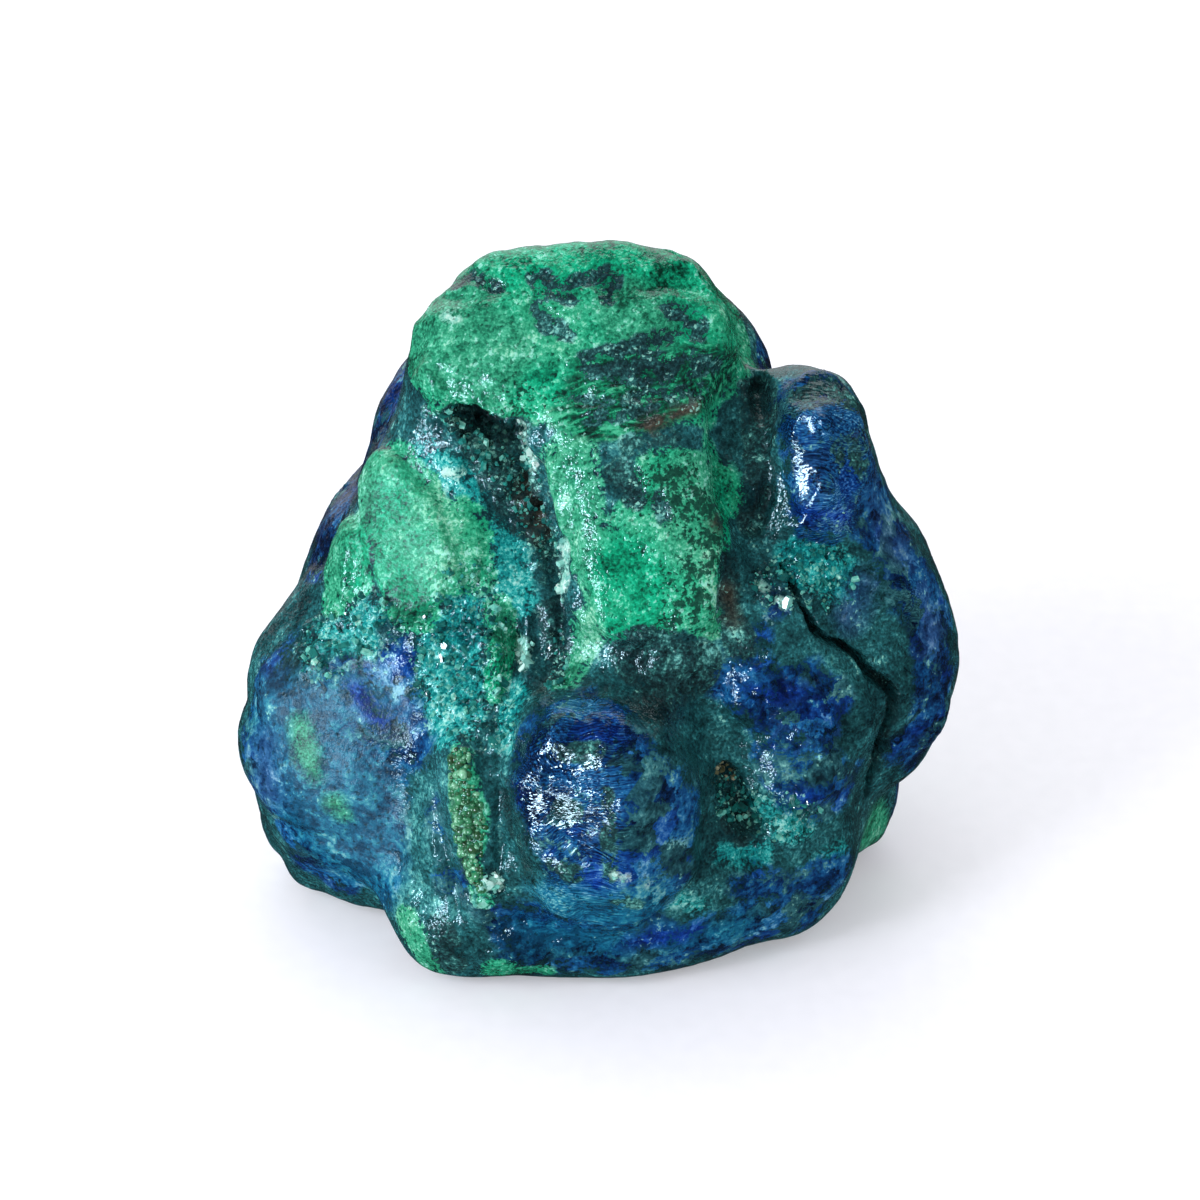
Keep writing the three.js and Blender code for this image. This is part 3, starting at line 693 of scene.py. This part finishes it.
# The pattern that spreads each mineral's colours, and its colours from the darkest grain to the palest
PAINTS = {
    "rock": ("mottle", [(0, "#082126"), (.3, "#133a3e"), (.5, "#1c4d50"), (.7, "#24656a"), (1, "#4f9c98")]),
    "teal": ("mottle", [(0, "#08383c"), (.3, "#0b5e62"), (.5, "#108684"), (.72, "#38aca6"), (1, "#a0e0d6")]),
    "azurite": ("weave", [
        (0, "#04122c"), (.28, "#0a305c"), (.5, "#124e80"), (.7, "#246a98"), (1, "#74b0cc")]),
    "altered azurite": ("weave", [
        (0, "#0a2028"), (.3, "#183f48"), (.5, "#26565e"), (.7, "#367076"), (1, "#6aa4a2")]),
    "cobalt": ("weave", [(0, "#04103c"), (.35, "#06266c"), (.6, "#0c3a90"), (1, "#3a72b8")]),
    "cloudy": ("weave", [(0, "#0a3c58"), (.3, "#105878"), (.5, "#186e8c"), (.7, "#348c9c"), (1, "#7cb8ba")]),
    # Pale lilac-grey for the painted sheen, a painted reflection
    "painted_sheen": ("weave", [(0, "#1a3a68"), (.5, "#35598c"), (1, "#7f97c4")]),
    "malachite": ("mottle", [
        (0, "#042a1e"), (.25, "#08664a"), (.5, "#0c946a"), (.75, "#1cb68a"), (1, "#70dab4")]),
    "chalky": ("mottle", [
        (0, "#0f4030"), (.25, "#1a684e"), (.5, "#2c906c"), (.75, "#4cb08c"), (1, "#94dabe")]),
    "mossy": ("mottle", [
        (0, "#0e3020"), (.25, "#185438"), (.5, "#2a7650"), (.75, "#48906a"), (1, "#8cc4a0")]),
    "streaked": ("streaks", [
        (0, "#0b1a17"), (.3, "#122f29"), (.5, "#0e4e39"), (.7, "#14805a"), (1, "#46b48a")]),
    "dark": ("mottle", [(0, "#08161a"), (.35, "#12292c"), (.6, "#1d4345"), (.8, "#2f6a66"), (1, "#62aaa2")]),
    "brown": ("mottle", [(0, "#191b1a"), (.5, "#33322d"), (1, "#524c40")]),
    "crust": ("mottle", [(0, "#3f9a8a"), (.5, "#8fd0bf"), (1, "#e6f6ee")]),
}
FIELDS = ("malachite", "azurite", "cobalt", "dark", "crust", "teal", "brown", "painted_sheen", "druse", "bloom",
          "pitted", "fibrous", "streaked", "matt", "cloudy", "chalky", "clean", "sunk")


def add_node(tree, kind, inputs=(), out=0, stops=(), **settings):
    """Adds a node and returns one of its outputs, or some. Inputs are values or other nodes' outputs; stops
    are a ramp's places and colours."""
    node = tree.nodes.new("ShaderNode" + kind)
    for name, value in settings.items():
        setattr(node, name, value)
    for name, value in dict(inputs).items():
        if isinstance(value, bpy.types.NodeSocket):
            tree.links.new(value, node.inputs[name])
        else:
            node.inputs[name].default_value = value
    for place, _ in stops[2:]:
        node.color_ramp.elements.new(place)
    for element, (place, colour) in zip(node.color_ramp.elements if stops else (), stops):
        element.position = place
        element.color = linear(colour)
    return tuple(node.outputs[name] for name in out) if isinstance(out, tuple) else node.outputs[out]


def new_nodes(owner):
    """Empties the nodes of a new material or world. Returns what adds a node to them, and what adds one that
    spreads a value, from low to high, over bottom to top."""
    owner.use_nodes = True
    owner.node_tree.nodes.clear()
    add = partial(add_node, owner.node_tree)

    def spread(value, low=0, high=1, bottom=0, top=1):
        ends = {"From Min": low, "From Max": high, "To Min": bottom, "To Max": top}
        return add("MapRange", {"Value": value, **ends})

    return add, spread


def tumbled_stone():
    """Azurite and malachite, tumbled: a waxy gloss on worn faces, fine bright breakage in the crusts."""
    material = bpy.data.materials.new("tumbled azurite and malachite")
    add, spread = new_nodes(material)
    place = add("TexCoord", out="Object")
    mm = add("VectorMath", {0: place, "Scale": 1 / MM}, operation="SCALE")
    fields = {name: add("Attribute", out="Fac", attribute_name=name) for name in FIELDS}

    # Clouds of all sizes under 3 mm, lace under 1 mm, grit of 0.2 mm, and tones that change over 7 mm
    clouds, lace, grit, tones = (
        add("TexNoise", {"Vector": mm, "Scale": 1 / size, "Detail": detail, "Roughness": roughness})
        for size, detail, roughness in ((2.6, 5, .7), (.8, 3, .7), (.2, 1, .7), (7, 1, .5)))

    # Grains 0.17 mm and crystals 0.5 mm across, each with its own chances
    loose = add("VectorMath", {0: lace, 1: (.5, .5, .5), 2: mm}, operation="MULTIPLY_ADD")
    grain = add("TexVoronoi", {"Vector": loose, "Scale": 1 / .17}, out="Color")
    crystal, crystal_middle = add("TexVoronoi", {"Vector": loose, "Scale": 1 / .5},
                                  out=("Color", "Distance"))
    chance, luck, fate = add("SeparateColor", {0: grain}, out=(0, 1, 2))
    draw = add("SeparateColor", {0: crystal})

    # Azurite needles 0.1 mm thick lie side by side and end to end, in rows 2 mm long that curve
    bend = add("TexNoise", {"Vector": mm, "Scale": 1 / 4, "Detail": 1}, out="Color")
    curved = add("VectorMath", {0: bend, 1: (0, 0, 3.4), 2: mm}, operation="MULTIPLY_ADD")
    stretched = add("VectorMath", {0: curved, 1: (1 / 2.2, 1 / .1, 1 / .1)}, operation="MULTIPLY")
    needles, satin = add("TexNoise", {"Vector": stretched, "Scale": 1, "Detail": 2, "Roughness": .6},
                         out=("Fac", "Color"))

    # The bundles are 2.4 mm long and 1.4 mm across; each has its own shade, rank, polish and lean
    torn = add("VectorMath", {0: lace, 1: (2.4, 2.4, 2.4), 2: mm}, operation="MULTIPLY_ADD")
    torn = add("VectorMath", {0: torn, 1: (1 / 2.4, 1 / 1.4, 1 / 1.4)}, operation="MULTIPLY")
    bundle = add("TexVoronoi", {"Vector": torn, "Scale": 1}, out="Color")
    shade, rank, polish = add("SeparateColor", {0: bundle}, out=(0, 1, 2))

    # Streaks 0.34 mm thick and 3 mm long
    sloped = add("VectorRotate", {"Vector": curved, "Angle": math.radians(20)}, rotation_type="Y_AXIS")
    sloped = add("VectorMath", {0: sloped, 1: (1 / 3, 1 / .34, 1 / .34)}, operation="MULTIPLY")
    streaks = add("TexNoise", {"Vector": sloped, "Scale": 1, "Detail": 2, "Roughness": .6})

    def blend(*parts, low, high, top=1):
        """The weighted sum of some outputs, with low to high spread over 0 to top."""
        total = 0
        for value, weight in parts:
            total = add("Math", {0: value, 1: weight, 2: total}, operation="MULTIPLY_ADD")
        return spread(total, low, high, top=top)

    grained = blend((clouds, .5), (lace, .6), (grit, .16), (luck, .06), low=-.34, high=.66)
    lacy = blend((clouds, .5), (lace, .7), (grit, .05), low=-.37, high=.63)

    def within(name, soft, wander, edge=grained):
        """1 inside a mineral's patch, 0 outside. Its edge is that many mm soft, and lacy or broken into
        grains. It wanders with the clouds and lace, by up to 3 mm times wander."""
        wander *= 3
        moved = add("Math", {0: edge, 1: wander, 2: fields[name]}, operation="MULTIPLY_ADD")
        return spread(moved, wander - soft, wander + soft)

    fibrous = spread(fields["fibrous"], -.4, .6)
    threads = add("Mix", {0: fibrous, 2: lace, 3: needles}, data_type="FLOAT")
    patterns = {
        "mottle": blend((clouds, .8), (lace, .6), (tones, .5), (grit, .34), (chance, .14),
                        low=.92, high=1.46),
        "weave": blend((threads, 1.3), (clouds, .7), (tones, .4), (chance, .1), (shade, .24),
                       low=1.16, high=1.78),
        "streaks": blend((streaks, 1), (chance, .12), (clouds, .3), low=.48, high=.92),
    }
    paints = {name: add("ValToRGB", {"Fac": patterns[pattern]}, stops=stops)
              for name, (pattern, stops) in PAINTS.items()}

    # Where azurite has partly turned to malachite, or is pure; where malachite is milky, mossy or pitted
    altered = blend((clouds, .6), (lace, .5), (needles, .3), (tones, .3), (rank, .4), low=1.08, high=1.14)
    pure = blend((polish, 1), low=.83, high=.87, top=.6)
    milky = blend((fields["bloom"], 1), (clouds, 1.2), (lace, .6), low=.1, high=1.7)
    mossy = blend((tones, 1), (clouds, .8), low=.92, high=1.12, top=.45)
    pits = blend((lace, -1), (luck, -.25), (fields["pitted"], .1), low=-.5, high=-.43, top=.85)
    for name, share, paint in (
        ("azurite", altered, paints["altered azurite"]), ("azurite", pure, paints["cobalt"]),
        ("malachite", milky, paints["chalky"]), ("malachite", mossy, paints["mossy"]),
        ("malachite", pits, linear("#12332c")),
    ):
        paints[name] = add("Mix", {0: share, 6: paints[name], 7: paint}, out=2, data_type="RGBA")

    # Each mineral lies over those before it, with an edge that soft and wandering that far. The sheen layer is
    # a painted reflection, and parts of the dark and crust layers are painted shade and painted glints
    layers = [(within(name, soft, wander, edge), paints[name]) for name, soft, wander, edge in (
        ("teal", .3, 3, grained), ("azurite", .3, 2.6, grained), ("cloudy", 1, 3, grained),
        ("cobalt", .5, 4.2, grained), ("painted_sheen", 1.3, 1, grained), ("chalky", .5, .8, lacy),
        ("malachite", .12, 2, grained), ("streaked", .3, 1.2, lacy), ("dark", .08, 2.6, lacy),
        ("brown", .4, 1, lacy), ("crust", .2, 1.2, grained))]

    # Some grains are nearly black, and some are pale: few on worn faces and many in the crusts of crystals. The
    # pale specks are partly the malachite's own paler grains and partly painted glints, and the pale middles of
    # crystals in the crusts are partly their tone and partly a painted highlight on their tops
    broken = within("druse", .5, 1.4)
    green = within("malachite", .3, 2)
    blue = add("Math", {0: within("azurite", .3, 2.6), 1: fibrous}, operation="MULTIPLY")
    black = spread(luck, .08, .05, top=.5)
    shine = blend((fate, .5), (broken, .08), (green, .06), (clouds, .6), (lace, .5),
                  low=1.1, high=1.16, top=.7)
    bead = blend((crystal_middle, -1.4), (draw, 1), (broken, .5), low=.94, high=1.04, top=.4)
    # Deep places are painted darker: painted shade in the hollows
    depth = spread(fields["sunk"], .5, 2.6, top=.5)
    layers += [(black, linear("#06201d")), (shine, linear("#8fd8c6")), (bead, linear("#78c8ae")),
               (depth, linear("#0b2426"))]
    colour = paints["rock"]
    for share, paint in layers:
        colour = add("Mix", {0: share, 6: colour, 7: paint}, out=2, data_type="RGBA")

    # Relief too fine for the net: lumps 0.13 mm high, and the tilts of grains, crystals and needles.
    # Needles lie along X, so their flanks tilt mostly about X, and each bundle leans its own way
    relief = blend((lace, 1), (grit, .12), low=0, high=1)
    coarse = spread(blue, bottom=1, top=.12)
    normal = add("Bump", {"Height": relief, "Distance": .13 * MM, "Strength": coarse}, out="Normal")
    flanks = add("VectorMath", {0: satin, 1: (.1, 1.5, 1.5)}, operation="MULTIPLY")
    flanks = add("VectorMath", {0: bundle, 1: (.24, .24, .24), 2: flanks}, operation="MULTIPLY_ADD")
    clean = spread(fields["clean"], -.1, .1, bottom=1, top=.55)
    even = (.5, .5, .5)
    for tilts, middle, where, amount in (
        (grain, even, coarse, .18), (crystal, even, broken, .8), (flanks, (.17, .87, .87), blue, clean),
    ):
        tilts = add("VectorMath", {0: tilts, 1: middle}, operation="SUBTRACT")
        amount = add("Math", {0: where, 1: amount}, operation="MULTIPLY")
        normal = add("VectorMath", {0: tilts, 1: amount, 2: normal}, operation="MULTIPLY_ADD")
    normal = add("VectorMath", {0: normal}, operation="NORMALIZE")

    matt = spread(fields["matt"], -.5, 1.5, top=.36)
    dull = spread(polish, .5, .46, top=.3)
    dull = add("Math", {0: dull, 1: blue}, operation="MULTIPLY")
    roughness = blend((clouds, .2), (fate, .1), (blue, -.03), (depth, .3), (matt, 1), (dull, .2),
                      (within("dark", .08, 2.6, lacy), .05), low=0, high=1)
    shader = add("BsdfPrincipled", {
        "Base Color": colour, "Roughness": roughness, "IOR": 1.6, "Specular Tint": linear("#b8d2d4"),
        "Normal": normal})
    add("OutputMaterial", {"Surface": shader}, out=())
    return material


def small_crystals(name, stops, roughness):
    """Clean small faces: glassy where crystals have grown, waxy on beads. Each has its own tone, clouded
    inside."""
    material = bpy.data.materials.new(name)
    add, spread = new_nodes(material)
    mm = add("VectorMath", {0: add("TexCoord", out="Object"), "Scale": 1 / MM}, operation="SCALE")
    clouds = add("TexNoise", {"Vector": mm, "Scale": 1 / .3, "Detail": 2})
    tone = add("Attribute", out="Fac", attribute_name="tone")
    mixed = add("Math", {0: clouds, 1: .8, 2: tone}, operation="MULTIPLY_ADD")
    colour = add("ValToRGB", {"Fac": spread(mixed, .2, 1.6)}, stops=stops)
    bumps = add("Bump", {"Height": clouds, "Distance": .03 * MM, "Strength": 1}, out="Normal")
    worn = spread(clouds, bottom=roughness - .08, top=roughness + .12)
    shader = add("BsdfPrincipled", {"Base Color": colour, "Roughness": worn, "IOR": 1.65, "Normal": bumps})
    add("OutputMaterial", {"Surface": shader}, out=())
    return material


def plain_floor():
    """Matt white acrylic, lit a little from below: no gloss, and a faint, even tooth, drawn 1.1 mm across so
    that it shows at all."""
    material = bpy.data.materials.new("matt white acrylic")
    add, _ = new_nodes(material)
    place = add("TexCoord", out="Object")
    tooth = add("TexNoise", {"Vector": place, "Scale": 900, "Detail": 2})
    tone = add("ValToRGB", {"Fac": tooth}, stops=[(.3, "#dcdce2"), (.7, "#e2e2e8")])
    shader = add("BsdfPrincipled", {
        "Base Color": tone, "Roughness": .9, "IOR": 1.4,
        "Emission Color": linear("#fbfbff"), "Emission Strength": .3})
    add("OutputMaterial", {"Surface": shader}, out=())
    return material


# ---- studio ----

def soft_light(name, place, size, power, colour="#ffffff", diffuse=True, glossy=True):
    light = bpy.data.lights.new(name, "AREA")
    light.shape = "RECTANGLE"
    light.size, light.size_y = size
    light.energy = power
    light.color = linear(colour)[:3]
    lamp = new_object(name, light)
    lamp.location = place
    lamp.visible_diffuse = diffuse
    lamp.visible_glossy = glossy
    lamp.rotation_euler = (Vector(MIDDLE) - Vector(place)).to_track_quat("-Z", "Y").to_euler()


def set_up_studio():
    mesh = bpy.data.meshes.new("floor")
    mesh.from_pydata([(-4, -4, 0), (4, -4, 0), (4, 4, 0), (-4, 4, 0)], [], [(0, 1, 2, 3)])
    mesh.materials.append(plain_floor())
    floor = new_object("floor", mesh)
    floor.visible_glossy = False

    soft_light("window", (-.46, -.36, .3), size=(.26, .5), power=3.4, colour="#f6f8ff", glossy=False)
    soft_light("glare", (-.42, -.46, .12), size=(.09, .28), power=6, colour="#e2ecff", diffuse=False)
    soft_light("skylight", (.1, .45, .9), size=(1.4, .1), power=2, diffuse=False)
    soft_light("backlight", (-.15, .62, .74), size=(1, .8), power=3)

    world = bpy.data.worlds.new("white room")
    add, spread = new_nodes(world)
    # Walls and ceiling light the nugget evenly, but its polish mirrors a dark room with a pale back wall
    way = add("TexCoord", out="Generated")
    backwards = add("VectorMath", {0: way, 1: (-.1, .95, .3)}, operation="DOT_PRODUCT", out="Value")
    mirrored = spread(backwards, .75, .97, bottom=.02)
    ray = add("LightPath", out="Is Glossy Ray")
    seen = add("LightPath", out="Is Camera Ray")
    glow = add("Mix", {0: ray, 2: .75, 3: mirrored}, data_type="FLOAT")
    glow = add("Mix", {0: seen, 2: glow, 3: 1}, data_type="FLOAT")
    room = add("Background", {"Color": linear("#fdfdff"), "Strength": glow})
    add("OutputWorld", {"Surface": room}, out=())
    bpy.context.scene.world = world
    bpy.context.scene.view_settings.view_transform = "Standard"


# ---- build ----

set_up_camera()
nugget = fine_net(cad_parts["stone"])
lay_minerals(nugget, *shape_nugget(nugget))
nugget.data.materials.append(tumbled_stone())
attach(nugget, "root")
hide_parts("stone")

druse, grains, crust, sunk = (read(nugget.data.attributes[name].data, "value", 1)[:, 0]
                              for name in ("druse", "grains", "crust", "sunk"))
places = places_of(nugget) / MM
x, y, z = places.T
# Sharp teal crystals that glint in the hollows: well inside a pocket, not deep in a cleft, off the floor
inner = (np.abs(x) < 15.6) | (y < -3)  # away from the outline, which is smooth
strew("druse_crystals", nugget, (druse > .5) & (sunk < 1.4) & (z > .6) & inner, count=1800,
      sizes=(.16, .62), seed=3, sides=5, material=small_crystals(
          "drusy malachite crystals", roughness=.14, stops=[
              (0, "#0f3c3c"), (.35, "#175f5b"), (.6, "#26877e"), (.85, "#74c6b4"), (1, "#d4f0e6")]))
# Waxy beads packed together on the green strip, brownish between and pale on top
strew("malachite_beads", nugget, grains > 0, count=320, sizes=(.26, .6), seed=5, material=small_crystals(
    "botryoidal malachite", roughness=.26, stops=[
        (0, "#2c3a1c"), (.3, "#265c3a"), (.65, "#388a5e"), (1, "#96d4b0")]))
# Pale, glassy crystals that catch the light beside the rib and the cavity
below_rim = z < 37  # of the cap, which is worn smooth
strew("crust_crystals", nugget, (crust > -.1) & below_rim, count=110, sizes=(.25, .7), seed=9, sides=5,
      material=small_crystals("frosty malachite crust", roughness=.2, stops=[
          (0, "#3d8f86"), (.4, "#86cabd"), (.7, "#bfe8dd"), (1, "#f0fbf7")]))
# A few duller, yellowish grains in the recess beside the boss
in_front = y < -6
strew("honey_crystals", nugget, (inside(places * (1, 0, 1), HONEY) > 0) & in_front, count=14,
      sizes=(.3, .55), seed=7, sides=6, material=small_crystals("honey-coloured calcite", roughness=.16, stops=[
          (0, "#45482f"), (.5, "#77785a"), (1, "#bcbb9c")]))
set_up_studio()
